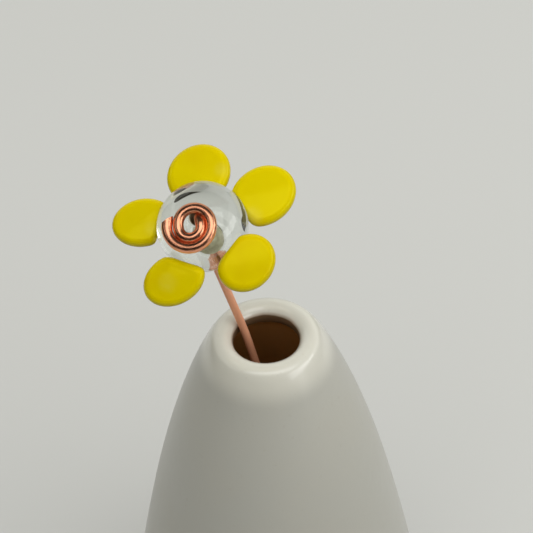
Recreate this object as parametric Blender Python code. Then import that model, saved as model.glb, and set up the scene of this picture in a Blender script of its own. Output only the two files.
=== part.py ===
"""Glass daisy on a copper wire, standing in a small glazed bud vase.

Units are metres and +Z is up. The origin is the centre of the vase's flat foot, and the flower
faces forwards, to -Y, and upwards.
"""

from math import acos, ceil, cos, exp, hypot, pi, radians, sin, sqrt, tan

import bmesh
import bpy
from mathutils import Matrix, Vector

MM = 0.001
FIT_GAP = 0.3 * MM
SHARP_EDGE = radians(40)

# Vase: a thick rounded lip that runs smoothly into a body widening to a belly near the foot
VASE_HEIGHT = 112.0 * MM
LIP_RING_RADIUS = 9.03 * MM
LIP_ROLL_RADIUS = 2.44 * MM
LIP_RING_HEIGHT = VASE_HEIGHT - LIP_ROLL_RADIUS
LIP_INNER_END = radians(-50)
LIP_OUTER_END = radians(142)
LIP_BLEND = 0.35 * MM
LIP_BLEND_REACH = 1.17 * MM
NECK_RADIUS = 12.0 * MM
SHOULDER_FLARE = 8.9 * MM
SHOULDER_DEPTH = 28.3 * MM
BODY_TAPER = 0.144
FOOT_TUCK = 9.0 * MM
FOOT_TUCK_HEIGHT = 35.0 * MM
FOOT_TUCK_POWER = 2.2
FOOT_EDGE_BEVEL = 0.8 * MM
WALL = 4.4 * MM
FLOOR_THICKNESS = 5.5 * MM
FLOOR_RADIUS = 23.3 * MM
FLOOR_CORNER = 4.0 * MM
VASE_SEGMENTS = 40
LIP_STEPS = 12
LIP_TO_THROAT = 4.0 * MM
SHOULDER_STEPS = 12
SHOULDER_CROWDING = 1.7
SHOULDER_END_HEIGHT = 42.0 * MM
BELLY_STEPS = 8
BELLY_END_HEIGHT = 34.0 * MM
THROAT_STEPS = 10
THROAT_CROWDING = 1.4
THROAT_TO_CORNER = 6.0 * MM
CORNER_STEPS = 5

# Flower: where the bead's centre is, and which way the bead's hole points
BEAD_CENTER = Vector((-11.0, -0.27, 142.6)) * MM
FACE_ELEVATION = radians(58.5)
FACE_AZIMUTH = radians(-99.9)
FACE_TWIST = radians(-1.0)
BEAD_RADIUS = 8.75 * MM
BEAD_HALF_THICKNESS = 7.2 * MM
BORE_RADIUS = 1.3 * MM
BORE_MOUTH_ROUND = 0.6 * MM
BEAD_SEGMENTS = 32
BEAD_SIDE_STEPS = 19
BORE_MOUTH_STEPS = 5

# Petals in millimetres and degrees: name, angle round the bead, distance out, the oval's two
# half-widths and its turn, the distance of the flattened side next to the bead and its turn,
# height above the bead's middle plane, and how far the petal slopes back
PETALS = (
    ("petal_top", 101.8, 10.6, 5.8, 6.4, 38.6, 5.9, 0, -1.0, 4),
    ("petal_upper_right", 33.8, 12.85, 6.7, 5.6, 11.7, 5.2, 9.7, -0.6, 4),
    ("petal_lower_right", -35.5, 11.55, 5.1, 5.9, -4.0, 4.45, 8.1, 1.7, 16),
    ("petal_lower_left", 250.9, 11.8, 4.7, 6.25, 51.5, 3.95, 5.6, 1.4, 16),
    ("petal_left", 180.5, 11.55, 6.1, 4.7, 13.4, 3.4, -8.7, -0.8, 4),
)
PETAL_THICKNESS = 3.3 * MM
PETAL_CORNER = 8
PETAL_SEGMENTS = 32
PETAL_EDGE_STEPS = 6
BEAD_CUTTER_SEGMENTS = 40
BEAD_CUTTER_STEPS = 25

# Wire: the flat winding on the bead's face, the run through the bead and the straight stem
WIRE_RADIUS = 0.815 * MM
WINDING_LEAN_DOWN = radians(14)
WINDING_LEAN_LEFT = radians(1)
WINDING_OFFSET = Vector((-1.1, -0.35, 0.0)) * MM
WINDING_OUTER_RADIUS = 4.3 * MM
WINDING_INNER_RADIUS = 2.0 * MM
WINDING_START = radians(168)
WINDING_STEP_IN_START = radians(390)
WINDING_STEP_IN_END = radians(560)
WINDING_END = radians(735)
WINDING_SQUASH = 0.97
WINDING_STEP = radians(15)
BORE_ENTRY_DEPTH = 1.4 * MM
BORE_ENTRY_REACH = 1.45 * MM
BORE_ENTRY_STEPS = 8
BEND_RADIUS = 4.0 * MM
BEND_STEPS = 6
BEND_BEHIND_BEAD = 2.2 * MM
RIM_POINT = Vector((-4.2 * MM, 3.4 * MM, LIP_RING_HEIGHT))
STEM_SLOPE = Vector((-0.275, 0.05, 1.0))
STEM_SLOPE_IN_VASE = Vector((-0.205, 0.05, 1.0))
STEM_TOP_ABOVE_RIM = 18.0 * MM
STEM_TOP_REACH = 2.0 * MM
STEM_TOP_STEPS = 3
BORE_POINT_SPACING = 3.0 * MM
STEM_POINT_SPACING = 12.0 * MM


def clear_scene():
    for item in list(bpy.data.objects):
        bpy.data.objects.remove(item, do_unlink=True)


def make_material(name, color, roughness, metallic=0.0, transmission=0.0, coat=0.0):
    material = bpy.data.materials.new(name)
    material.use_nodes = True
    shader = material.node_tree.nodes["Principled BSDF"]
    shader.inputs["Base Color"].default_value = (*color, 1.0)
    shader.inputs["Roughness"].default_value = roughness
    shader.inputs["Metallic"].default_value = metallic
    shader.inputs["Transmission Weight"].default_value = transmission
    shader.inputs["Coat Weight"].default_value = coat
    shader.inputs["IOR"].default_value = 1.5
    material.diffuse_color = (*color, 1.0)
    return material


def add_object(name, mesh, material):
    mesh.materials.append(material)
    mesh.shade_smooth()
    mesh.set_sharp_from_angle(angle=SHARP_EDGE)
    item = bpy.data.objects.new(name, mesh)
    bpy.context.collection.objects.link(item)
    return item


def spin_outline(name, outline, segments, closed):
    """Turn an outline of (radius, height) points round Z into a closed mesh."""
    shape = bmesh.new()
    points = [shape.verts.new((radius, 0.0, height)) for radius, height in outline]
    edges = [shape.edges.new(pair) for pair in zip(points, points[1:])]
    if closed:
        edges.append(shape.edges.new((points[-1], points[0])))
    bmesh.ops.spin(shape, geom=points + edges, axis=(0, 0, 1), cent=(0, 0, 0),
                   angle=2 * pi, steps=segments, use_merge=True)
    bmesh.ops.remove_doubles(shape, verts=shape.verts, dist=1e-6)
    bmesh.ops.recalc_face_normals(shape, faces=shape.faces)
    mesh = bpy.data.meshes.new(name)
    shape.to_mesh(mesh)
    shape.free()
    return mesh


def body_radius(height):
    """Outer radius of the vase's body, from the lip's outer edge down to the foot."""
    depth = LIP_RING_HEIGHT - height
    flare = SHOULDER_FLARE * (1 - exp(-depth / SHOULDER_DEPTH))
    blend_start = LIP_ROLL_RADIUS * sin(LIP_OUTER_END)
    blend = LIP_BLEND * exp(-(depth + blend_start) / LIP_BLEND_REACH)
    tuck = FOOT_TUCK * max(0.0, 1 - height / FOOT_TUCK_HEIGHT) ** FOOT_TUCK_POWER
    return NECK_RADIUS + flare + BODY_TAPER * depth - blend - tuck


def spread(start, end, count, crowd=1.0):
    """Values from start to end, closer together near the start when crowd is above 1."""
    return [start + (end - start) * (step / (count - 1)) ** crowd for step in range(count)]


def outer_side():
    """The vase's outer side, from the foot's edge up to the lip's outer edge."""
    lip_edge = LIP_RING_HEIGHT + LIP_ROLL_RADIUS * sin(LIP_OUTER_END)
    belly = spread(FOOT_EDGE_BEVEL, BELLY_END_HEIGHT, BELLY_STEPS)
    shoulder = spread(lip_edge, SHOULDER_END_HEIGHT, SHOULDER_STEPS + 1, SHOULDER_CROWDING)
    heights = belly + list(reversed(shoulder[1:]))
    return [(body_radius(height), height) for height in heights]


def lip_roll():
    """The lip's round, from its outer edge over the top to its inner edge."""
    return [(LIP_RING_RADIUS - LIP_ROLL_RADIUS * cos(angle),
             LIP_RING_HEIGHT + LIP_ROLL_RADIUS * sin(angle))
            for angle in spread(LIP_OUTER_END, LIP_INNER_END, LIP_STEPS)]


def inner_side():
    """The vase's inner side, from below the lip down to the edge of the flat inner floor."""
    corner_top = FLOOR_THICKNESS + FLOOR_CORNER
    heights = spread(LIP_RING_HEIGHT - LIP_TO_THROAT, corner_top + THROAT_TO_CORNER,
                     THROAT_STEPS, THROAT_CROWDING)
    side = [(body_radius(height) - WALL, height) for height in heights]
    corner = [(FLOOR_RADIUS + FLOOR_CORNER * cos(angle), corner_top - FLOOR_CORNER * sin(angle))
              for angle in spread(0.0, pi / 2, CORNER_STEPS)]
    return side + corner


def vase_outline():
    foot = [(0.0, 0.0), (body_radius(0.0) - FOOT_EDGE_BEVEL, 0.0)]
    return foot + outer_side() + lip_roll() + inner_side() + [(0.0, FLOOR_THICKNESS)]


def make_vase():
    mesh = spin_outline("vase", vase_outline(), VASE_SEGMENTS, closed=False)
    glaze = make_material("vase_glaze", (0.60, 0.59, 0.52), 0.25, coat=0.5)
    return add_object("vase", mesh, glaze)


def flower_frame():
    """Flower axes in the world: X to the flower's right, Y to its top, Z out of its face."""
    out = Vector((cos(FACE_ELEVATION) * cos(FACE_AZIMUTH),
                  cos(FACE_ELEVATION) * sin(FACE_AZIMUTH),
                  sin(FACE_ELEVATION)))
    right = Vector((0, 0, 1)).cross(out).normalized()
    top = out.cross(right)
    turn = Matrix((right, top, out)).transposed().to_4x4()
    return Matrix.Translation(BEAD_CENTER) @ turn @ Matrix.Rotation(FACE_TWIST, 4, "Z")


def bead_outline():
    """Right half of the bead: two rounded bore mouths joined by the bulging side."""
    mouth = BORE_RADIUS + BORE_MOUTH_ROUND
    start = acos(mouth / BEAD_RADIUS)
    side = [(BEAD_RADIUS * cos(angle), BEAD_HALF_THICKNESS * sin(angle))
            for angle in spread(start, -start, BEAD_SIDE_STEPS)]
    shoulder = BEAD_HALF_THICKNESS * sin(start)
    top = [(mouth - BORE_MOUTH_ROUND * sin(angle), shoulder - BORE_MOUTH_ROUND * (1 - cos(angle)))
           for angle in spread(pi / 2, 0.0, BORE_MOUTH_STEPS)]
    bottom = [(x, -y) for x, y in reversed(top)]
    return top[:-1] + side + bottom[1:]


def make_center_bead(frame):
    mesh = spin_outline("center_bead", bead_outline(), BEAD_SEGMENTS, closed=True)
    glass = make_material("clear_glass", (0.93, 0.95, 0.92), 0.03, transmission=1.0)
    bead = add_object("center_bead", mesh, glass)
    bead.matrix_world = frame
    return bead


def make_bead_cutter(frame):
    """The bead grown by the fit gap, for shaping the petals' inner ends."""
    radius = BEAD_RADIUS + FIT_GAP
    half = BEAD_HALF_THICKNESS + FIT_GAP
    outline = [(radius * cos(angle), half * sin(angle))
               for angle in spread(pi / 2, -pi / 2, BEAD_CUTTER_STEPS)]
    outline[0] = (0.0, half)
    outline[-1] = (0.0, -half)
    mesh = spin_outline("bead_cutter", outline, BEAD_CUTTER_SEGMENTS, closed=False)
    cutter = bpy.data.objects.new("bead_cutter", mesh)
    bpy.context.collection.objects.link(cutter)
    cutter.matrix_world = frame
    cutter.hide_render = True
    cutter.display_type = "WIRE"
    return cutter


def petal_radius(angle, outward, across, turn, flat, flat_turn):
    """Distance to the petal's edge: an oval, flattened softly on the side next to the bead."""
    oval = 1 / hypot(cos(angle - turn) / outward, sin(angle - turn) / across)
    flattening = max(0.0, -cos(angle - flat_turn)) / flat
    return (oval ** -PETAL_CORNER + flattening ** PETAL_CORNER) ** (-1 / PETAL_CORNER)


def petal_mesh(name, outline):
    """A pressed glass dab with flat faces and a full round edge, from its list of radii."""
    half = PETAL_THICKNESS / 2
    shape = bmesh.new()
    rings = []
    for edge in spread(pi / 2, -pi / 2, PETAL_EDGE_STEPS + 1):
        rings.append([shape.verts.new(((radius + half * (cos(edge) - 1)) * cos(angle),
                                       (radius + half * (cos(edge) - 1)) * sin(angle),
                                       half * sin(edge))) for angle, radius in outline])
    shape.faces.new(rings[0])
    shape.faces.new(reversed(rings[-1]))
    for upper, lower in zip(rings, rings[1:]):
        for step in range(len(upper)):
            shape.faces.new((upper[step - 1], lower[step - 1], lower[step], upper[step]))
    bmesh.ops.recalc_face_normals(shape, faces=shape.faces)
    mesh = bpy.data.meshes.new(name)
    shape.to_mesh(mesh)
    shape.free()
    return mesh


def make_petal(frame, cutter, material, name, angle, distance, outward, across, turn,
               flat, flat_turn, rise, slope):
    turns = spread(0.0, 2 * pi, PETAL_SEGMENTS + 1)[:-1]
    outline = [(at, petal_radius(at, outward * MM, across * MM, radians(turn),
                                 flat * MM, radians(flat_turn))) for at in turns]
    mesh = petal_mesh(name, outline)
    place = (Matrix.Rotation(radians(angle), 4, "Z")
             @ Matrix.Translation((distance * MM, 0.0, rise * MM))
             @ Matrix.Rotation(radians(slope), 4, "Y"))
    petal = add_object(name, mesh, material)
    petal.matrix_world = frame @ place
    cut = petal.modifiers.new("fit_to_bead", "BOOLEAN")
    cut.operation = "DIFFERENCE"
    cut.solver = "EXACT"
    cut.object = cutter
    return petal


def winding_radius(angle):
    """Two turns of nearly even size, with one smooth step in from the outer to the inner."""
    share = (angle - WINDING_STEP_IN_START) / (WINDING_STEP_IN_END - WINDING_STEP_IN_START)
    share = min(1.0, max(0.0, share))
    ease = share * share * (3 - 2 * share)
    return WINDING_OUTER_RADIUS + (WINDING_INNER_RADIUS - WINDING_OUTER_RADIUS) * ease


def winding_points(frame):
    """The flat winding, which leans against the bead's face below and left of the hole."""
    lean = Matrix.Rotation(-WINDING_LEAN_LEFT, 4, "Y") @ Matrix.Rotation(WINDING_LEAN_DOWN, 4, "X")
    normal = (lean @ Vector((0, 0, 1))).normalized()
    support = sqrt((BEAD_RADIUS * normal.x) ** 2 + (BEAD_RADIUS * normal.y) ** 2
                   + (BEAD_HALF_THICKNESS * normal.z) ** 2)
    center = normal * (support + FIT_GAP + WIRE_RADIUS) + lean @ WINDING_OFFSET
    points = []
    steps = ceil((WINDING_END - WINDING_START) / WINDING_STEP)
    for angle in spread(WINDING_START, WINDING_END, steps + 1):
        radius = winding_radius(angle)
        flat = Vector((radius * cos(angle), radius * WINDING_SQUASH * sin(angle), 0.0))
        points.append(frame @ (center + lean @ flat))
    return points


def run_points(start, end, spacing):
    """Evenly spaced points from start to end, with the start left out."""
    count = max(1, ceil((end - start).length / spacing))
    return [start.lerp(end, step / count) for step in range(1, count + 1)]


def bend_points(corner, incoming, outgoing):
    """An arc that turns from one direction to another at a corner."""
    turn = incoming.angle(outgoing)
    start = corner - incoming * BEND_RADIUS * tan(turn / 2)
    inward = (outgoing - incoming * incoming.dot(outgoing)).normalized()
    center = start + inward * BEND_RADIUS
    return [center + (incoming * sin(angle) - inward * cos(angle)) * BEND_RADIUS
            for angle in spread(0.0, turn, BEND_STEPS + 1)]


def smooth_join(start, start_direction, end, end_direction, steps):
    """Points of one Bezier curve, ends left out, that joins two directions."""
    first = start + start_direction
    second = end - end_direction
    points = []
    for step in range(1, steps):
        t = step / steps
        s = 1 - t
        points.append(start * s ** 3 + first * 3 * s * s * t + second * 3 * s * t * t
                      + end * t ** 3)
    return points


def wire_points(frame):
    """The wire's centre line, from the cut end on the flower's face to the end in the vase."""
    axis = (frame.to_3x3() @ Vector((0, 0, 1))).normalized()
    points = winding_points(frame)
    heading = (points[-1] - points[-2]).normalized()
    bore_start = frame @ Vector((0, 0, BEAD_HALF_THICKNESS - BORE_ENTRY_DEPTH))
    points += smooth_join(points[-1], heading * BORE_ENTRY_REACH,
                          bore_start, -axis * BORE_ENTRY_REACH, BORE_ENTRY_STEPS)
    points.append(bore_start)
    corner = frame @ Vector((0, 0, -BEAD_HALF_THICKNESS - BEND_BEHIND_BEAD))
    stem_top = RIM_POINT + STEM_SLOPE * STEM_TOP_ABOVE_RIM
    to_stem = (stem_top - corner).normalized()
    bend = bend_points(corner, -axis, to_stem)
    points += run_points(bore_start, bend[0], BORE_POINT_SPACING)
    points += bend[1:]
    points += smooth_join(points[-1], to_stem * STEM_TOP_REACH,
                          stem_top, -STEM_SLOPE * STEM_TOP_REACH, STEM_TOP_STEPS)
    points.append(stem_top)
    points += run_points(stem_top, RIM_POINT, STEM_POINT_SPACING)
    lean = STEM_SLOPE_IN_VASE.angle(Vector((0, 0, 1)))
    end_height = FLOOR_THICKNESS + FIT_GAP + WIRE_RADIUS * sin(lean)
    stem_end = RIM_POINT + STEM_SLOPE_IN_VASE * (end_height - RIM_POINT.z)
    points += run_points(RIM_POINT, stem_end, STEM_POINT_SPACING)
    return points


def make_copper_stem(frame):
    curve = bpy.data.curves.new("copper_stem", "CURVE")
    curve.dimensions = "3D"
    curve.bevel_depth = WIRE_RADIUS
    curve.bevel_resolution = 2
    curve.use_fill_caps = True
    route = wire_points(frame)
    spline = curve.splines.new("POLY")
    spline.points.add(len(route) - 1)
    for point, place in zip(spline.points, route):
        point.co = (*place, 1.0)
    curve.materials.append(make_material("copper", (0.78, 0.38, 0.22), 0.25, metallic=1.0))
    wire = bpy.data.objects.new("copper_stem", curve)
    bpy.context.collection.objects.link(wire)
    return wire


def make_flower():
    frame = flower_frame()
    make_center_bead(frame)
    cutter = make_bead_cutter(frame)
    yellow = make_material("yellow_glass", (0.64, 0.52, 0.0), 0.12, coat=0.6)
    for petal in PETALS:
        make_petal(frame, cutter, yellow, *petal)
    make_copper_stem(frame)


clear_scene()
make_vase()
make_flower()
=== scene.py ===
from itertools import accumulate
from math import acos, atan2, ceil, cos, exp, hypot, pi, radians, sin, sqrt, tan, tau

import bmesh
import bpy
from mathutils import Matrix, Vector
from mathutils.kdtree import KDTree


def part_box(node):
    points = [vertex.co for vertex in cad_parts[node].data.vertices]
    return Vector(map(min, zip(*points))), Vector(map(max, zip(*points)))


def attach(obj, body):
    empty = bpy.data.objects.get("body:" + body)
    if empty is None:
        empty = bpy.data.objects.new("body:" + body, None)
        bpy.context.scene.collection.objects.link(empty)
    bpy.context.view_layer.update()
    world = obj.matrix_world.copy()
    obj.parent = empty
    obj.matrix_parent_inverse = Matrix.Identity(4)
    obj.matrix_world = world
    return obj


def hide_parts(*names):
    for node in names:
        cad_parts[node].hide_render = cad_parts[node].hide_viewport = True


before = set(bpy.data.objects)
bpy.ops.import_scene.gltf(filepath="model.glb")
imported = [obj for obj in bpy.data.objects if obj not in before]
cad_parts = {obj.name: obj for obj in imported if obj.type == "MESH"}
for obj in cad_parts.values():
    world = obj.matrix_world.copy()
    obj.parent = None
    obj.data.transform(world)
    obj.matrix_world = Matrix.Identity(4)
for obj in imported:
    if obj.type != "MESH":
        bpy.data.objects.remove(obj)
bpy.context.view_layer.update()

MM = 0.001


# Camera: a long lens at arm's length in front of the flower and above it, which looks down on
# the flower's face and into the vase's mouth, with the slight roll of a camera held by hand.
CAMERA_PLACE = Vector((0.0, -312.25, 440.54)) * MM
CAMERA_TARGET = Vector((0.72, -6.96, 137.73)) * MM
CAMERA_ROLL = radians(-2.66)
LENS_MM = 153.66
SENSOR_MM = 36.0
NEAR_CLIP = 20.0 * MM
FAR_CLIP = 60.0

camera_data = bpy.data.cameras.new("camera")
camera_data.lens = LENS_MM
camera_data.sensor_width = SENSOR_MM
camera_data.clip_start = NEAR_CLIP
camera_data.clip_end = FAR_CLIP
camera = bpy.data.objects.new("camera", camera_data)
bpy.context.scene.collection.objects.link(camera)
aim = (CAMERA_TARGET - CAMERA_PLACE).to_track_quat("-Z", "Y").to_matrix().to_4x4()
camera.matrix_world = (Matrix.Translation(CAMERA_PLACE) @ aim
                       @ Matrix.Rotation(CAMERA_ROLL, 4, "Z"))
bpy.context.scene.camera = camera
bpy.context.scene.view_settings.view_transform = "Standard"


# Vase: one slip-cast stoneware bottle. A thick rounded lip runs into a shoulder that widens to
# a belly near the foot. Satin ivory glaze outside, dark brown glaze inside, and a bare foot.
VASE_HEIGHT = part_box("vase")[1].z
LIP_RING_RADIUS = 9.03 * MM
LIP_ROLL_RADIUS = 2.44 * MM
LIP_RING_HEIGHT = VASE_HEIGHT - LIP_ROLL_RADIUS
LIP_INNER_END = radians(-50)
LIP_OUTER_END = radians(142)
LIP_BLEND = 0.35 * MM
LIP_BLEND_REACH = 1.17 * MM
NECK_RADIUS = 12.0 * MM
SHOULDER_FLARE = 8.9 * MM
SHOULDER_DEPTH = 28.3 * MM
BODY_TAPER = 0.144
FOOT_TUCK = 9.0 * MM
FOOT_TUCK_HEIGHT = 35.0 * MM
FOOT_TUCK_POWER = 2.2
FOOT_EDGE_BEVEL = 0.8 * MM
BELLY_HEIGHT = 40.0 * MM
SHOULDER_END = 42.0 * MM
WALL = 4.4 * MM
INNER_SIDE_BELOW_LIP = 4.0 * MM
INNER_SIDE_ABOVE_CORNER = 6.0 * MM
FLOOR_THICKNESS = 5.5 * MM
FLOOR_RADIUS = 23.3 * MM
FLOOR_CORNER = 4.0 * MM
VASE_SEGMENTS = 128
VASE_SMOOTH_ANGLE = radians(50)
BROWN_EDGE = radians(22)
FAR_OUTSIDE = -9.0
FAR_INSIDE = 5.0
IVORY = (0.455, 0.449, 0.397, 1.0)
# Painted light and shade: the ivory is lighter near the lip, where light falls from above, and
# darker on the body's side walls, which are in shade.
IVORY_PAINTED_LIP_LIGHT = (0.655, 0.642, 0.560, 1.0)
LIP_GLAZE_AND_PAINTED_LIGHT_RUN = 5.0 * MM
IVORY_THIN = (0.520, 0.480, 0.385, 1.0)
BROWN = (0.110, 0.066, 0.034, 1.0)
# Painted light inside the mouth: the brown is dark at the rim, where light falls, and much lighter
# deeper down, where shade falls.
BROWN_PAINTED_LIGHT_DEEP = (0.620, 0.300, 0.080, 1.0)
PAINTED_HOLE_LIGHT_DEPTH = 4.5 * MM
AMBER = (0.230, 0.120, 0.045, 1.0)
BARE_CLAY = (0.440, 0.350, 0.260, 1.0)
GLAZE_LINE = (-0.15, 0.25)
AMBER_LINE = (-0.75, 0.0)
AMBER_SHARE = 0.55
SPECK_SHARE = 0.06
THIN_GLAZE_SHARE = 0.12
BARE_CLAY_TOP = 1.1 * MM
BARE_CLAY_FULL = 0.7 * MM
ORANGE_PEEL_DEPTH = 0.06 * MM


class Signal:
    """An output socket of a material's nodes. Sums and products of signals add Math nodes."""

    def __init__(self, finish, socket):
        self.finish = finish
        self.socket = socket

    def math(self, operation, first, second):
        return self.finish.node("Math", {"operation": operation}, {0: first, 1: second})

    def __add__(self, other):
        return self.math("ADD", self, other)

    __radd__ = __add__

    def __mul__(self, other):
        return self.math("MULTIPLY", self, other)

    __rmul__ = __mul__

    def __sub__(self, other):
        return self.math("SUBTRACT", self, other)

    def __rsub__(self, other):
        return self.math("SUBTRACT", other, self)

    def clip(self):
        """The signal held between 0 and 1."""
        settings = {"operation": "ADD", "use_clamp": True}
        return self.finish.node("Math", settings, {0: self, 1: 0.0})

    def ease(self, low, high, start=0.0, end=1.0):
        """A smooth step from start to end while the signal goes from low to high."""
        settings = {"interpolation_type": "SMOOTHSTEP"}
        return self.finish.node("MapRange", settings, {0: self, 1: low, 2: high, 3: start, 4: end})


class Finish:
    """A material in the making, round its Principled shader, or a world round its Background."""

    def __init__(self, name, kind="materials", shader="Principled BSDF"):
        self.material = getattr(bpy.data, kind).new(name)
        self.material.use_nodes = True
        self.tree = self.material.node_tree
        self.shader = self.tree.nodes[shader]

    def node(self, kind, settings=None, inputs=None, output=0):
        made = self.tree.nodes.new("ShaderNode" + kind)
        for key, value in (settings or {}).items():
            setattr(made, key, value)
        self.feed(made, inputs or {})
        return Signal(self, made.outputs[output])

    def feed(self, node, inputs):
        for key, value in inputs.items():
            if isinstance(value, Signal):
                self.tree.links.new(value.socket, node.inputs[key])
            else:
                node.inputs[key].default_value = value

    def blend(self, factor, first, second):
        """The first colour where the factor is 0, the second where it is 1."""
        return self.node("Mix", {"data_type": "RGBA"}, {0: factor, 6: first, 7: second}, 2)

    def noise(self, scale, detail=2.0, roughness=0.5, vector=None):
        where = vector or self.node("TexCoord", output="Object")
        return self.node("TexNoise", inputs={"Vector": where, "Scale": scale, "Detail": detail,
                                             "Roughness": roughness})

    def bump(self, height, distance):
        return self.node("Bump", inputs={"Height": height, "Distance": distance})


def spread(start, end, count, crowd=1.0):
    """Values from start to end, closer together near the start when crowd is above 1."""
    return [start + (end - start) * (step / (count - 1)) ** crowd for step in range(count)]


def body_radius(height):
    """Outer radius of the vase's body, from the lip's outer edge down to the foot."""
    depth = LIP_RING_HEIGHT - height
    flare = SHOULDER_FLARE * (1 - exp(-depth / SHOULDER_DEPTH))
    blend_start = LIP_ROLL_RADIUS * sin(LIP_OUTER_END)
    blend = LIP_BLEND * exp(-(depth + blend_start) / LIP_BLEND_REACH)
    tuck = FOOT_TUCK * max(0.0, 1 - height / FOOT_TUCK_HEIGHT) ** FOOT_TUCK_POWER
    return NECK_RADIUS + flare + BODY_TAPER * depth - blend - tuck


def vase_outline():
    """Half of the vase's section: foot, outer side, lip, inner side and floor."""
    outline = [(0.0, 0.0), (body_radius(0.0) - FOOT_EDGE_BEVEL, 0.0)]
    outline += [(body_radius(height), height)
                for height in spread(FOOT_EDGE_BEVEL, BELLY_HEIGHT, 24)]
    lip_edge = LIP_RING_HEIGHT + LIP_ROLL_RADIUS * sin(LIP_OUTER_END)
    shoulder = spread(lip_edge, SHOULDER_END, 34, crowd=1.5)[1:]
    outline += [(body_radius(height), height) for height in reversed(shoulder)]
    for angle in reversed(spread(LIP_INNER_END, LIP_OUTER_END, 36)):
        outline.append((LIP_RING_RADIUS - LIP_ROLL_RADIUS * cos(angle),
                        LIP_RING_HEIGHT + LIP_ROLL_RADIUS * sin(angle)))
    corner_top = FLOOR_THICKNESS + FLOOR_CORNER
    for height in spread(LIP_RING_HEIGHT - INNER_SIDE_BELOW_LIP,
                         corner_top + INNER_SIDE_ABOVE_CORNER, 20, crowd=1.4):
        outline.append((body_radius(height) - WALL, height))
    for angle in spread(0.0, pi / 2, 8):
        outline.append((FLOOR_RADIUS + FLOOR_CORNER * cos(angle),
                        corner_top - FLOOR_CORNER * sin(angle)))
    outline.append((0.0, FLOOR_THICKNESS))
    return outline


def start_piece():
    """Nothing is selected, so the next primitive is the only thing that operators act on."""
    bpy.ops.object.select_all(action="DESELECT")


def turn_outline(name, outline, segments):
    """A vertex is pulled along the outline and spun round Z, as on a wheel."""
    start_piece()
    bpy.ops.mesh.primitive_plane_add(size=MM, location=(outline[0][0], 0, outline[0][1]))
    piece = bpy.context.object
    piece.name = name
    bpy.ops.object.transform_apply(location=True, rotation=True, scale=True)
    bpy.ops.object.mode_set(mode="EDIT")
    bpy.ops.mesh.merge(type="CENTER")
    for (radius, height), (next_radius, next_height) in zip(outline, outline[1:]):
        step = (next_radius - radius, 0.0, next_height - height)
        bpy.ops.mesh.extrude_region_move(TRANSFORM_OT_translate={"value": step})
    bpy.ops.mesh.select_all(action="SELECT")
    bpy.ops.mesh.spin(steps=segments, angle=tau, center=(0, 0, 0), axis=(0, 0, 1))
    bpy.ops.mesh.select_all(action="SELECT")
    bpy.ops.mesh.remove_doubles(threshold=1e-6)
    bpy.ops.mesh.normals_make_consistent(inside=False)
    bpy.ops.object.mode_set(mode="OBJECT")
    return piece


def inside_run(radius, height):
    """Distance in millimetres past the glaze line at the mouth: inside is positive."""
    lip_bottom = LIP_RING_HEIGHT + LIP_ROLL_RADIUS * sin(LIP_INNER_END)
    if radius <= LIP_RING_RADIUS and height > lip_bottom:
        round_lip = atan2(height - LIP_RING_HEIGHT, LIP_RING_RADIUS - radius)
        return (BROWN_EDGE - round_lip) * LIP_ROLL_RADIUS / MM
    outer_side = radius > body_radius(height) - WALL / 2
    underside = height < FLOOR_THICKNESS / 2
    return FAR_OUTSIDE if outer_side or underside else FAR_INSIDE


vase = turn_outline("vase_body", vase_outline(), VASE_SEGMENTS)
run = vase.data.attributes.new("inside_run", "FLOAT", "POINT")
run.data.foreach_set("value", [inside_run(hypot(v.co.x, v.co.y), v.co.z)
                               for v in vase.data.vertices])
bpy.ops.object.shade_smooth_by_angle(angle=VASE_SMOOTH_ANGLE)

glaze = Finish("vase_glaze")
where = glaze.node("TexCoord", output="Object")
height = glaze.node("SeparateXYZ", inputs={0: where}, output=2)
mottle = glaze.noise(60.0, 3.0, 0.55)
speck = glaze.noise(900.0, 1.0).ease(0.70, 0.78)
inside = glaze.node("Attribute", {"attribute_name": "inside_run"}, output=2)
wander = (glaze.noise(260.0, 2.0) - 0.5) * 0.5
brown = (inside + wander).ease(*GLAZE_LINE)
amber = (inside + wander).ease(*AMBER_LINE)
foot = (height + wander * 0.0012).ease(BARE_CLAY_TOP, BARE_CLAY_FULL)
# Painted light: the glaze colour is lighter on the lip and in a band under it, where light falls
# from above. The same band also carries a thicker coat.
thick_glaze_and_painted_lip_light = height.ease(LIP_RING_HEIGHT - LIP_GLAZE_AND_PAINTED_LIGHT_RUN, LIP_RING_HEIGHT)
color = glaze.blend(thick_glaze_and_painted_lip_light, IVORY, IVORY_PAINTED_LIP_LIGHT)
color = glaze.blend(mottle.ease(0.35, 0.75, 0.0, THIN_GLAZE_SHARE), color, IVORY_THIN)
color = glaze.blend(speck * SPECK_SHARE, color, AMBER)
color = glaze.blend(amber * AMBER_SHARE, color, AMBER)
# Painted light: the inside glaze runs from dark brown at the rim, where light falls, to a lighter
# orange-brown deeper down, where shade falls.
painted_hole_light = height.ease(LIP_RING_HEIGHT, LIP_RING_HEIGHT - PAINTED_HOLE_LIGHT_DEPTH)
color = glaze.blend(brown, color, glaze.blend(painted_hole_light, BROWN, BROWN_PAINTED_LIGHT_DEEP))
color = glaze.blend(foot, color, BARE_CLAY)
peel = glaze.noise(420.0, 2.0) * 0.6 + glaze.noise(110.0, 2.0)
glaze.feed(glaze.shader, {
    "Base Color": color,
    "Roughness": foot * 0.45 + mottle.ease(0.3, 0.8, 0.30, 0.38),
    "IOR": 1.5,
    "Coat Weight": (thick_glaze_and_painted_lip_light * 0.8 + 0.2) * (1 - foot),
    "Coat Roughness": 0.15,
    "Normal": glaze.bump(peel, ORANGE_PEEL_DEPTH),
})
vase.data.materials.append(glaze.material)
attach(vase, "root")
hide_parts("vase")


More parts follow.
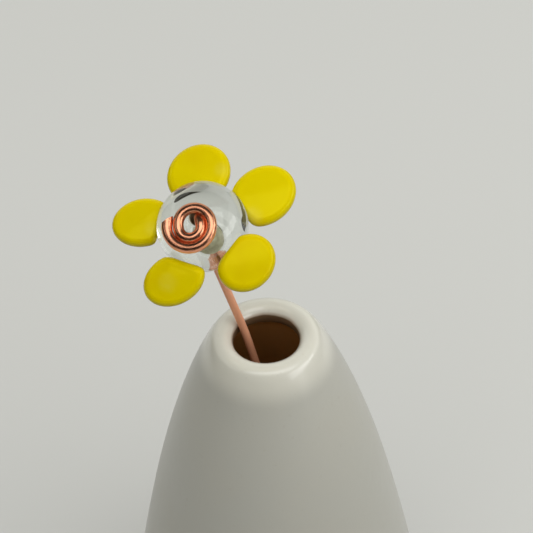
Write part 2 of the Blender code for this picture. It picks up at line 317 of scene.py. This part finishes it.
# Flower frame: the bead's hole is the flower's axis. X is the flower's right, Y its top and Z
# points out of its face, which is turned up and a little to the left.
BEAD_LOW, BEAD_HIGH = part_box("center_bead")
FACE_ELEVATION = radians(58.5)
FACE_AZIMUTH = radians(-99.9)
FACE_TWIST = radians(-1.0)

face_out = Vector((cos(FACE_ELEVATION) * cos(FACE_AZIMUTH),
                   cos(FACE_ELEVATION) * sin(FACE_AZIMUTH),
                   sin(FACE_ELEVATION)))
face_right = Vector((0, 0, 1)).cross(face_out).normalized()
face_turn = Matrix((face_right, face_out.cross(face_right), face_out)).transposed().to_4x4()
flower = (Matrix.Translation((BEAD_LOW + BEAD_HIGH) / 2) @ face_turn
          @ Matrix.Rotation(FACE_TWIST, 4, "Z"))


# Center bead: clear lampworked glass, gathered round a steel rod that left a straight hole. The
# flame pulled it to a slightly flattened ball, and grey-green release clay still lines the hole.
BEAD_RADIUS = 8.75 * MM
BEAD_FRONT = 7.6 * MM
BEAD_BACK = 7.0 * MM
FRONT_PRESS = 0.6 * MM
FRONT_REACH = 3.8 * MM
BACK_PRESS = 2.4 * MM
BACK_REACH = 2.3 * MM
BORE_RADIUS = 1.6 * MM
BORE_MOUTH_ROUND = 0.5 * MM
BEAD_SEGMENTS = 96
BEAD_SMOOTH_ANGLE = radians(40)
CLAY_GRAIN_DEPTH = 0.1 * MM
CLEAR_GLASS = (0.840, 0.866, 0.825, 1.0)
RELEASE_CLAY = (0.880, 0.860, 0.640, 1.0)
RELEASE_CLAY_DARK = (0.660, 0.630, 0.430, 1.0)


def settle(piece, place):
    """Puts the piece in its place and writes the place into its mesh."""
    piece.matrix_world = place
    bpy.ops.object.transform_apply(location=True, rotation=True, scale=True)


def bead_face(radius, bulge, press, reach):
    """Height of one face of the bead above its middle plane, pressed flatter round the hole."""
    ball = bulge * sqrt(max(0.0, 1 - (radius / BEAD_RADIUS) ** 2))
    return ball - press * exp(-(radius / reach) ** 2)


def half_outline(*face):
    """Section of one half of the bead, from the hole's wall over its rounded mouth to the rim."""
    mouth = BORE_RADIUS + BORE_MOUTH_ROUND
    mouth_height = bead_face(mouth, *face)
    points = [(mouth - BORE_MOUTH_ROUND * sin(angle),
               mouth_height - BORE_MOUTH_ROUND * (1 - cos(angle)))
              for angle in spread(pi / 2, 0.0, 8)]
    angles = spread(acos(mouth / BEAD_RADIUS), 0.0, 48)[1:]
    radii = [BEAD_RADIUS * cos(angle) for angle in angles]
    return points + [(radius, bead_face(radius, *face)) for radius in radii]


def bead_outline():
    """The bead's section, once round: front half, back half and back up the hole's wall."""
    front = half_outline(BEAD_FRONT, FRONT_PRESS, FRONT_REACH)
    back = half_outline(BEAD_BACK, BACK_PRESS, BACK_REACH)
    return front + [(radius, -height) for radius, height in reversed(back[:-1])] + front[:1]


bead = turn_outline("center_bead_glass", bead_outline(), BEAD_SEGMENTS)
bpy.ops.object.shade_smooth_by_angle(angle=BEAD_SMOOTH_ANGLE)
glass = Finish("clear_glass")
glass.feed(glass.shader, {
    "Base Color": CLEAR_GLASS,
    "Roughness": 0.0,
    "IOR": 1.52,
    "Transmission Weight": 1.0,
})
clay = Finish("release_clay")
grain = clay.noise(1500.0, 4.0, 0.65)
clay.feed(clay.shader, {
    "Base Color": clay.blend(grain.ease(0.35, 0.65), RELEASE_CLAY_DARK, RELEASE_CLAY),
    "Roughness": 0.9,
    "Normal": clay.bump(grain, CLAY_GRAIN_DEPTH),
})
bead.data.materials.append(glass.material)
bead.data.materials.append(clay.material)
for face in bead.data.polygons:
    if hypot(face.center.x, face.center.y) < BORE_RADIUS * 1.05:
        face.material_index = 1
settle(bead, flower)
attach(bead, "root")
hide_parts("center_bead")


# Petals: five dabs of opaque lemon-yellow glass, each pressed flat between two graphite pads
# while soft, so the faces are nearly flat and the edges are full rounds fused to the bead.

# Name, angle round the bead, distance out, half length, half width, turn, reach and direction of
# the side that is flattened by the bead, rise and slope, in millimetres and degrees.
PETALS = (
    ("petal_top", 101.8, 10.6, 5.8, 6.4, 38.6, 5.9, 0, -1.0, 4),
    ("petal_upper_right", 33.8, 12.85, 6.7, 5.6, 11.7, 5.2, 9.7, -0.6, 4),
    ("petal_lower_right", -35.5, 11.55, 5.1, 5.9, -4.0, 4.45, 8.1, 1.7, 16),
    ("petal_lower_left", 250.9, 11.8, 4.7, 6.25, 51.5, 3.95, 5.6, 1.4, 16),
    ("petal_left", 180.5, 11.55, 6.1, 4.7, 13.4, 3.4, -8.7, -0.8, 4),
)
PETAL_THICKNESS = 3.3 * MM
PETAL_DOME = 0.25 * MM
PETAL_WAIST = 0.1 * MM
EDGE_SHARE = 0.28
FACE_RING_WIDTHS = (0.88, 0.75, 0.61, 0.46, 0.30, 0.14)
PETAL_CORNER = 14
PETAL_GAP = 0.03 * MM
PETAL_SEGMENTS = 96
PETAL_BLANK_RADIUS = 10.0 * MM
PETAL_MIDDLE = 2.0 * MM
PETAL_SMOOTH_ANGLE = radians(35)
YELLOW = (0.660, 0.538, 0.000, 1.0)
YELLOW_DEEP = (0.610, 0.452, 0.000, 1.0)
# The pale yellow is a painted highlight, laid where soft reflections of the lamps fall on the
# domed petals.
YELLOW_PAINTED_HIGHLIGHT = (0.670, 0.590, 0.085, 1.0)
SOOT = (0.220, 0.150, 0.020, 1.0)
PETAL_RIPPLE_DEPTH = 0.08 * MM

# Middles and radii, in millimetres on the flower's face.
# The first table places painted highlights, pale patches where soft reflections of the lamps fall
# on the petals; the second places soot specks.
PAINTED_HIGHLIGHT_SPOTS = ((2.6, 11.4, 2.6), (9.2, 2.4, 3.0), (5.6, -7.0, 2.4), (-4.6, -11.8, 2.8),
         (-9.5, -1.5, 2.2))
SPECKS = ((11.2, 4.4, 0.55), (-11.8, 3.2, 0.30), (1.6, 10.0, 0.22))

yellow = Finish("yellow_glass")
place = yellow.node("TexCoord", output="Object")


def spots(places, softness):
    """1 at the middle of each round spot on the flower's face, fading to 0 at its radius."""
    total = 0.0
    for x, y, radius in places:
        middle = flower @ (Vector((x, y, PETAL_THICKNESS / 2 / MM)) * MM)
        ring = yellow.node("VectorMath", {"operation": "DISTANCE"}, {0: place, 1: middle}, "Value")
        total = ring.ease(radius * MM, radius * MM * softness) + total
    return total


cloud = yellow.noise(110.0, 3.0, 0.5)
streak = yellow.noise(330.0, 3.0, 0.6)
# Painted highlight: pale streaky patches where soft reflections of the lamps fall on the petals.
painted_highlight = (spots(PAINTED_HIGHLIGHT_SPOTS, 0.1) * streak.ease(0.3, 0.7, 0.4, 1.0)).clip()
color = yellow.blend(cloud.ease(0.4, 0.75, 0.0, 0.6), YELLOW, YELLOW_DEEP)
color = yellow.blend(painted_highlight * 0.5, color, YELLOW_PAINTED_HIGHLIGHT)
color = yellow.blend((spots(SPECKS, 0.2) * streak.ease(0.35, 0.55)).clip() * 0.35, color, SOOT)
yellow.feed(yellow.shader, {
    "Base Color": color,
    "Roughness": 0.15 + cloud.ease(0.35, 0.7, 0.0, 0.05),
    "IOR": 1.5,
    "Specular Tint": (1.0, 0.92, 0.05, 1.0),
    "Subsurface Weight": 0.6,
    "Subsurface Radius": (1.0, 0.9, 0.15),
    "Subsurface Scale": 1.2 * MM,
    "Normal": yellow.bump(yellow.noise(180.0, 1.0), PETAL_RIPPLE_DEPTH),
})


def petal_radius(angle, outward, across, turn, flat, flat_turn):
    """Distance to the petal's edge: an oval, flattened softly on the side next to the bead."""
    oval = 1 / hypot(cos(angle - turn) / outward, sin(angle - turn) / across)
    flattening = max(0.0, -cos(angle - flat_turn)) / flat
    return (oval ** -PETAL_CORNER + flattening ** PETAL_CORNER) ** (-1 / PETAL_CORNER)


def petal_section():
    """Width and height, ring by ring, from the petal's waist over its round edge to its middle."""
    edge = PETAL_THICKNESS / 2 - PETAL_DOME
    rings = [(1 - EDGE_SHARE * (1 - cos(turn)), PETAL_WAIST / 2 + edge * sin(turn))
             for turn in spread(0.0, pi / 2, 12)[1:]]
    flat = rings[-1][0]
    rings += [(flat * width, edge + PETAL_DOME * (1 - width ** 2)) for width in FACE_RING_WIDTHS]
    return rings


def select_faces(piece, test):
    """In edit mode, selects only the faces whose middle passes the test."""
    bpy.ops.mesh.select_mode(type="FACE")
    bpy.ops.mesh.select_all(action="DESELECT")
    shape = bmesh.from_edit_mesh(piece.data)
    for face in shape.faces:
        if test(face.calc_center_median()):
            face.select_set(True)
    shape.select_flush_mode()
    bmesh.update_edit_mesh(piece.data)


# The bead's own outline, grown by the gap, trims each petal to fit against it.
start_piece()
bpy.ops.mesh.primitive_uv_sphere_add(segments=128, ring_count=128, radius=1.0)
cutter = bpy.context.object
cutter.scale = (BEAD_RADIUS + PETAL_GAP, BEAD_RADIUS + PETAL_GAP, BEAD_FRONT + PETAL_GAP)
bpy.ops.object.transform_apply(location=True, rotation=True, scale=True)
settle(cutter, flower)

for name, angle, distance, outward, across, turn, flat, flat_turn, rise, slope in PETALS:
    start_piece()
    bpy.ops.mesh.primitive_cylinder_add(vertices=PETAL_SEGMENTS, radius=PETAL_BLANK_RADIUS,
                                        depth=PETAL_WAIST)
    petal = bpy.context.object
    petal.name = name + "_glass"
    for vertex in petal.data.vertices:
        around = atan2(vertex.co.y, vertex.co.x)
        vertex.co.xy *= petal_radius(around, outward, across, radians(turn),
                                     flat, radians(flat_turn)) * MM / vertex.co.xy.length
    bpy.ops.object.mode_set(mode="EDIT")
    for side in (1, -1):
        select_faces(petal, lambda middle: middle.xy.length < PETAL_MIDDLE
                     and middle.z * side > PETAL_WAIST / 4)
        width, height = 1.0, PETAL_WAIST / 2
        for next_width, next_height in petal_section():
            rise_by = (0, 0, (next_height - height) * side)
            bpy.ops.mesh.extrude_region_move(TRANSFORM_OT_translate={"value": rise_by})
            size = next_width / width
            bpy.ops.transform.resize(value=(size, size, 1), center_override=(0, 0, 0))
            width, height = next_width, next_height
        bpy.ops.mesh.poke()
    bpy.ops.object.mode_set(mode="OBJECT")
    settle(petal, flower @ Matrix.Rotation(radians(angle), 4, "Z")
           @ Matrix.Translation((distance * MM, 0, rise * MM))
           @ Matrix.Rotation(radians(slope), 4, "Y"))
    bpy.ops.object.modifier_add(type="BOOLEAN")
    fit = bpy.context.object.modifiers[-1]
    fit.operation = "DIFFERENCE"
    fit.solver = "EXACT"
    fit.object = cutter
    bpy.ops.object.modifier_apply(modifier=fit.name)
    bpy.ops.object.shade_smooth_by_angle(angle=PETAL_SMOOTH_ANGLE)
    petal.data.materials.clear()
    petal.data.materials.append(yellow.material)
    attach(petal, "root")
    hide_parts(name)
bpy.data.objects.remove(cutter)


# Copper stem: one length of soft copper wire. Its front end is cut on a slant and wound by pliers
# into a flat coil on the bead's face, which flattens it a little. From there it runs through the
# hole, bends down behind the bead and leans on the lip, with its end on the vase's floor.
WIRE_RADIUS = 0.815 * MM
FIT_GAP = 0.3 * MM
WINDING_LEAN_DOWN = radians(4)
WINDING_LEAN_LEFT = radians(1)
WINDING_OFFSET = Vector((-1.12, -1.62, 0.0)) * MM
WINDING_HEIGHT = 8.15 * MM
WINDING_OUTER_RADIUS = 4.2 * MM
WINDING_INNER_RADIUS = 2.1 * MM
INNER_TURN_OFFSET = Vector((0.12, -0.16, 0.0)) * MM
WINDING_START = radians(179)
WINDING_STEP_IN_START = radians(381)
WINDING_STEP_IN_END = radians(560)
WINDING_END = radians(735)
WINDING_SQUASH = 0.99
WINDING_STEP = radians(4)
BORE_ENTRY_HEIGHT = 5.8 * MM
BORE_ENTRY_EASE = 1.5 * MM
WINDING_END_EASE = 1.4 * MM
BEND_RADIUS = 2.6 * MM
BEND_DEPTH = 8.6 * MM
BEND_EASE = 2.0 * MM
RIM_POINT = Vector((-4.2 * MM, 3.4 * MM, LIP_RING_HEIGHT))
STEM_SLOPE = Vector((-0.275, 0.05, 1.0))
STEM_SLOPE_IN_VASE = Vector((-0.205, 0.05, 1.0))
STEM_TOP_ABOVE_RIM = 18.0 * MM
RIM_CURVE_REACH = 4.0 * MM
RIM_CURVE_EASE = 2.6 * MM
STEM_TILT_SINE = 0.21
POINT_SPACING = 1.0 * MM
COIL_WIDENING = 1.27
STRAIGHTENING_STEPS = 20
CUT_SLANT = 0.72
WIRE_SMOOTH_ANGLE = radians(50)
COIL_LENGTH = 46.0 * MM
SATIN_RUN = 12.0 * MM
COPPER = (0.880, 0.390, 0.225, 1.0)
COPPER_BROWN = (0.700, 0.300, 0.165, 1.0)
COPPER_SATIN = (0.930, 0.440, 0.255, 1.0)
PLIER_NICK = Vector((-0.3, -2.9, 8.9)) * MM
NICK_SIZE = 0.5 * MM
DRAWING_LINE_DEPTH = 0.03 * MM


def soft_step(share):
    """0 up to a share of 0 and 1 from a share of 1, with a soft rise between them."""
    share = min(1.0, max(0.0, share))
    return share * share * (3 - 2 * share)


def winding_points():
    """The flat winding, which leans against the bead's face below and left of the hole."""
    lean = Matrix.Rotation(-WINDING_LEAN_LEFT, 4, "Y") @ Matrix.Rotation(WINDING_LEAN_DOWN, 4, "X")
    normal = (lean @ Vector((0, 0, 1))).normalized()
    center = normal * WINDING_HEIGHT + lean @ WINDING_OFFSET
    steps = ceil((WINDING_END - WINDING_START) / WINDING_STEP)
    points = []
    for angle in spread(WINDING_START, WINDING_END, steps + 1):
        inner = soft_step((angle - WINDING_STEP_IN_START)
                          / (WINDING_STEP_IN_END - WINDING_STEP_IN_START))
        radius = WINDING_OUTER_RADIUS + (WINDING_INNER_RADIUS - WINDING_OUTER_RADIUS) * inner
        flat = Vector((radius * cos(angle), radius * WINDING_SQUASH * sin(angle), 0.0))
        points.append(flower @ (center + lean @ (flat + INNER_TURN_OFFSET * inner)))
    return points


def run_points(start, end):
    """Evenly spaced points from start to end, with the start left out."""
    count = max(1, ceil((end - start).length / POINT_SPACING))
    return [start.lerp(end, step / count) for step in range(1, count + 1)]


def bend_points(corner, incoming, outgoing, steps=12):
    """An arc that turns from one direction to another at a corner, both directions of length 1."""
    turn = incoming.angle(outgoing)
    start = corner - incoming * BEND_RADIUS * tan(turn / 2)
    inward = (outgoing - incoming * incoming.dot(outgoing)).normalized()
    center = start + inward * BEND_RADIUS
    return [center + (incoming * sin(turn * step / steps) - inward * cos(turn * step / steps))
            * BEND_RADIUS for step in range(steps + 1)]


def smooth_join(start, start_direction, end, end_direction, steps):
    """Points of one Bezier curve, ends left out, that joins two directions."""
    first = start + start_direction
    second = end - end_direction
    return [start * (1 - t) ** 3 + first * 3 * (1 - t) ** 2 * t + second * 3 * (1 - t) * t * t
            + end * t ** 3 for t in (step / steps for step in range(1, steps))]


def wire_points():
    """The wire's centre line, from the cut end on the flower's face to the end in the vase."""
    axis = (flower.to_3x3() @ Vector((0, 0, 1))).normalized()
    points = winding_points()
    heading = (points[-1] - points[-2]).normalized()
    bore_start = flower @ Vector((0, 0, BORE_ENTRY_HEIGHT))
    points += smooth_join(points[-1], heading * WINDING_END_EASE,
                          bore_start, -axis * BORE_ENTRY_EASE, 16)
    points.append(bore_start)

    corner = flower @ Vector((0, 0, -BEND_DEPTH))
    stem_top = RIM_POINT + STEM_SLOPE * STEM_TOP_ABOVE_RIM
    toward_rim = (stem_top - corner).normalized()
    bend = bend_points(corner, -axis, toward_rim)
    points += run_points(bore_start, bend[0]) + bend[1:]
    points += smooth_join(points[-1], toward_rim * BEND_EASE,
                          stem_top, -STEM_SLOPE.normalized() * BEND_EASE, 6)
    points.append(stem_top)

    above = RIM_POINT + STEM_SLOPE * RIM_CURVE_REACH
    below = RIM_POINT - STEM_SLOPE_IN_VASE * RIM_CURVE_REACH
    points += run_points(stem_top, above)
    points += smooth_join(above, -STEM_SLOPE * RIM_CURVE_EASE,
                          below, -STEM_SLOPE_IN_VASE * RIM_CURVE_EASE, 8)
    points.append(below)
    end_height = FLOOR_THICKNESS + FIT_GAP + WIRE_RADIUS * STEM_TILT_SINE
    stem_end = RIM_POINT + STEM_SLOPE_IN_VASE * (end_height - RIM_POINT.z)
    return points + run_points(below, stem_end)


route = wire_points()
wire_data = bpy.data.curves.new("copper_wire", "CURVE")
wire_data.dimensions = "3D"
wire_data.bevel_depth = WIRE_RADIUS
wire_data.bevel_resolution = 10
wire_data.use_fill_caps = True
spline = wire_data.splines.new("POLY")
spline.points.add(len(route) - 1)
coil_count = len(winding_points())
for step, (point, place) in enumerate(zip(spline.points, route)):
    point.co = (*place, 1.0)
    straightened = soft_step((step - coil_count) / STRAIGHTENING_STEPS)
    point.radius = COIL_WIDENING + (1 - COIL_WIDENING) * straightened
wire = bpy.data.objects.new("copper_wire", wire_data)
bpy.context.scene.collection.objects.link(wire)
start_piece()
wire.select_set(True)
bpy.context.view_layer.objects.active = wire
bpy.ops.object.convert(target="MESH")
wire = bpy.context.object
bpy.ops.object.mode_set(mode="EDIT")
bpy.ops.mesh.select_all(action="SELECT")
bpy.ops.mesh.remove_doubles(threshold=1e-6)
bpy.ops.mesh.normals_make_consistent(inside=False)
bpy.ops.object.mode_set(mode="OBJECT")
bpy.ops.object.shade_smooth_by_angle(angle=WIRE_SMOOTH_ANGLE)

cut_way = (route[0] - route[1]).normalized()
inward = route[coil_count // 2] - route[0]
inward = (inward - cut_way * inward.dot(cut_way)).normalized()
for vertex in wire.data.vertices:
    offset = vertex.co - route[0]
    if offset.length < 2 * WIRE_RADIUS and abs(offset.dot(cut_way)) < 1e-5:
        vertex.co += cut_way * CUT_SLANT * (offset.dot(inward) + WIRE_RADIUS * COIL_WIDENING)

path = KDTree(len(route))
for step, place in enumerate(route):
    path.insert(place, step)
path.balance()
lengths = list(accumulate(((b - a).length for a, b in zip(route, route[1:])), initial=0.0))
nearest = [path.find(vertex.co)[1] for vertex in wire.data.vertices]
along_wire = wire.data.attributes.new("along_wire", "FLOAT", "POINT")
along_wire.data.foreach_set("value", [lengths[step] for step in nearest])
around_wire = wire.data.attributes.new("around_wire", "FLOAT_VECTOR", "POINT")
for value, vertex, step in zip(around_wire.data, wire.data.vertices, nearest):
    value.vector = (vertex.co - route[step]).normalized()

copper = Finish("copper")
along = copper.node("Attribute", {"attribute_name": "along_wire"}, output="Fac")
around = copper.node("Attribute", {"attribute_name": "around_wire"}, output="Vector")
stem = along.ease(COIL_LENGTH, COIL_LENGTH + SATIN_RUN)
stretched = copper.node("CombineXYZ", inputs={0: along * 25.0})
ringed = copper.node("VectorMath", {"operation": "SCALE"}, {0: around, "Scale": 4.5})
drawn = copper.node("VectorMath", {"operation": "ADD"}, {0: stretched, 1: ringed})
lines = copper.noise(1.0, 3.0, 0.6, drawn)
haze = copper.noise(420.0, 3.0, 0.6)
where = copper.node("TexCoord", output="Object")
nick = copper.node("VectorMath", {"operation": "DISTANCE"},
                   {0: where, 1: flower @ PLIER_NICK}, "Value").ease(NICK_SIZE, NICK_SIZE / 3)
color = copper.blend(haze.ease(0.4, 0.7, 0.0, 0.5), COPPER, COPPER_BROWN)
color = copper.blend(nick * 0.7, color, COPPER_BROWN)
copper.feed(copper.shader, {
    "Base Color": copper.blend(stem, color, COPPER_SATIN),
    "Metallic": 1 - stem * 0.6,
    "Roughness": 0.21 + lines.ease(0.35, 0.7, 0.0, 0.06) + stem * 0.30,
    "Normal": copper.bump(lines - nick, DRAWING_LINE_DEPTH),
})
wire.data.materials.append(copper.material)
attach(wire, "root")
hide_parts("copper_stem")


# Studio: a pale paper floor that runs out of sight, in a room whose soft light comes from above
# and behind. Three soft boxes stand at the right, low at the back right, and above the front.
# Black cards draw the dark bands in the copper and the dark marks in the clear glass.
PALE = (0.578, 0.580, 0.558, 1.0)
# The darker paper colour towards the front is painted shade.
PALE_PAINTED_SHADE_NEAR = (0.515, 0.517, 0.498, 1.0)
PALE_FAR = (0.745, 0.748, 0.721, 1.0)
PALE_UNSEEN = (0.200, 0.200, 0.190, 1.0)
BLACK = (0.030, 0.027, 0.024, 1.0)
FLOOR_REACH = 20.0
FLOWER_PLACE = Vector((-8.0, 0.0, 130.0)) * MM
DROP_MIDDLE = 0.52


def shown_rays(finish):
    """1 for rays that show a thing, straight or in metal and glass, and 0 for soft light."""
    rays = [finish.node("LightPath", output=name)
            for name in ("Is Camera Ray", "Is Glossy Ray", "Is Transmission Ray")]
    return (rays[0] + rays[1] + rays[2]).clip()


start_piece()
bpy.ops.mesh.primitive_circle_add(vertices=128, radius=FLOOR_REACH, fill_type="NGON")
floor = bpy.context.object
floor.name = "studio_floor"
paper = Finish("studio_paper")
where = paper.node("TexCoord", output="Object")
depth = paper.node("SeparateXYZ", inputs={0: where}, output=1)
reach = paper.node("VectorMath", {"operation": "LENGTH"}, {0: where}, "Value")
# Painted shade: the paper grows darker towards the front of the floor, near the camera.
paper_color = paper.blend(depth.ease(0.30, -0.15), PALE, PALE_PAINTED_SHADE_NEAR)
paper_color = paper.blend(reach.ease(0.6, 2.1), paper_color, PALE_FAR)
paper.feed(paper.shader, {
    "Base Color": paper.blend(shown_rays(paper), PALE_UNSEEN, paper_color),
    "Roughness": 0.9,
    "Specular IOR Level": 0.0,
})
floor.data.materials.append(paper.material)

black = Finish("black_card")
black.feed(black.shader, {"Base Color": BLACK, "Roughness": 1.0, "Specular IOR Level": 0.0})


def facing_flower(direction, distance):
    """The place of a lamp or card that stands in a direction from the flower and faces it."""
    way = Vector(direction).normalized()
    return (Matrix.Translation(FLOWER_PLACE + way * distance)
            @ way.to_track_quat("Z", "Y").to_matrix().to_4x4())


def add_lamp(name, direction, distance, width, height, radiance):
    """A soft box that faces the flower and glows evenly."""
    data = bpy.data.lights.new(name, "AREA")
    data.shape = "RECTANGLE"
    data.size = width
    data.size_y = height
    data.energy = radiance * width * height * pi
    lamp = bpy.data.objects.new(name, data)
    lamp.matrix_world = facing_flower(direction, distance)
    lamp.visible_camera = False
    bpy.context.scene.collection.objects.link(lamp)


def hang_card(name, direction, distance, width, height, seen_by):
    """Hangs the card just added, so that one kind of ray sees it and it casts no shadow."""
    card = bpy.context.object
    card.name = name
    card.scale = (width, height, 1.0)
    bpy.ops.object.transform_apply(location=True, rotation=True, scale=True)
    settle(card, facing_flower(direction, distance))
    card.data.materials.append(black.material)
    for rays in ("camera", "diffuse", "glossy", "transmission", "shadow"):
        setattr(card, "visible_" + rays, rays == seen_by)


def add_flag(name, direction, distance, width, height, seen_by="glossy"):
    """An oblong black card that shows only in reflections, or only through the glass."""
    start_piece()
    bpy.ops.mesh.primitive_plane_add(size=1.0)
    hang_card(name, direction, distance, width, height, seen_by)


def add_drop_card(name, direction, distance, width, height):
    """A small black card cut to a drop, broad at its left end, that shows only through glass."""
    start_piece()
    bpy.ops.mesh.primitive_circle_add(vertices=48, radius=0.5, fill_type="NGON")
    for vertex in bpy.context.object.data.vertices:
        vertex.co.y *= DROP_MIDDLE - 2 * vertex.co.x * (1 - DROP_MIDDLE)
    hang_card(name, direction, distance, width, height, "transmission")


add_lamp("key_window", (0.85, -0.40, 0.32), 0.8, 1.0, 0.30, 2.2)
add_lamp("back_window", (0.88, 0.46, -0.05), 0.8, 0.30, 0.16, 3.0)
add_lamp("top_strip", (0.10, -0.42, 0.87), 0.8, 1.0, 0.44, 1.8)
add_flag("front_flag", (0.0, -0.93, 0.37), 0.7, 1.8, 1.0)
add_flag("side_flag", (-1.0, 0.0, 0.08), 0.45, 0.9, 0.36)
add_flag("back_flag", (1.0, 0.35, -0.02), 0.45, 0.9, 0.22)
add_flag("ceiling_flag", (0.0, 0.10, 1.0), 0.95, 2.4, 1.7)
add_flag("left_flag", (-1.0, -0.1, -0.60), 0.2, 0.6, 0.032, "transmission")
add_drop_card("drop_card", (0.05, 0.70, -0.71), 0.017, 0.0103, 0.0075)
add_drop_card("edge_card", (-0.74, 0.62, -0.25), 0.060, 0.036, 0.020)

room = Finish("studio_room", "worlds", "Background")
bpy.context.scene.world = room.material
sky = room.node("TexCoord", output="Generated")
up = room.node("SeparateXYZ", inputs={0: sky}, output=2)
back = room.node("SeparateXYZ", inputs={0: sky}, output=1)
shown = shown_rays(room)
soft = up.ease(0.1, 1.0, 0.05, 1.1) + back.ease(0.2, 0.9, 0.0, 0.35)
level = shown * up.ease(0.2, 0.6, 0.60, 0.72) + (1 - shown) * soft
room.feed(room.shader, {
    "Color": room.node("CombineColor", inputs={0: level, 1: level, 2: level * 0.97}),
    "Strength": 1.0,
})
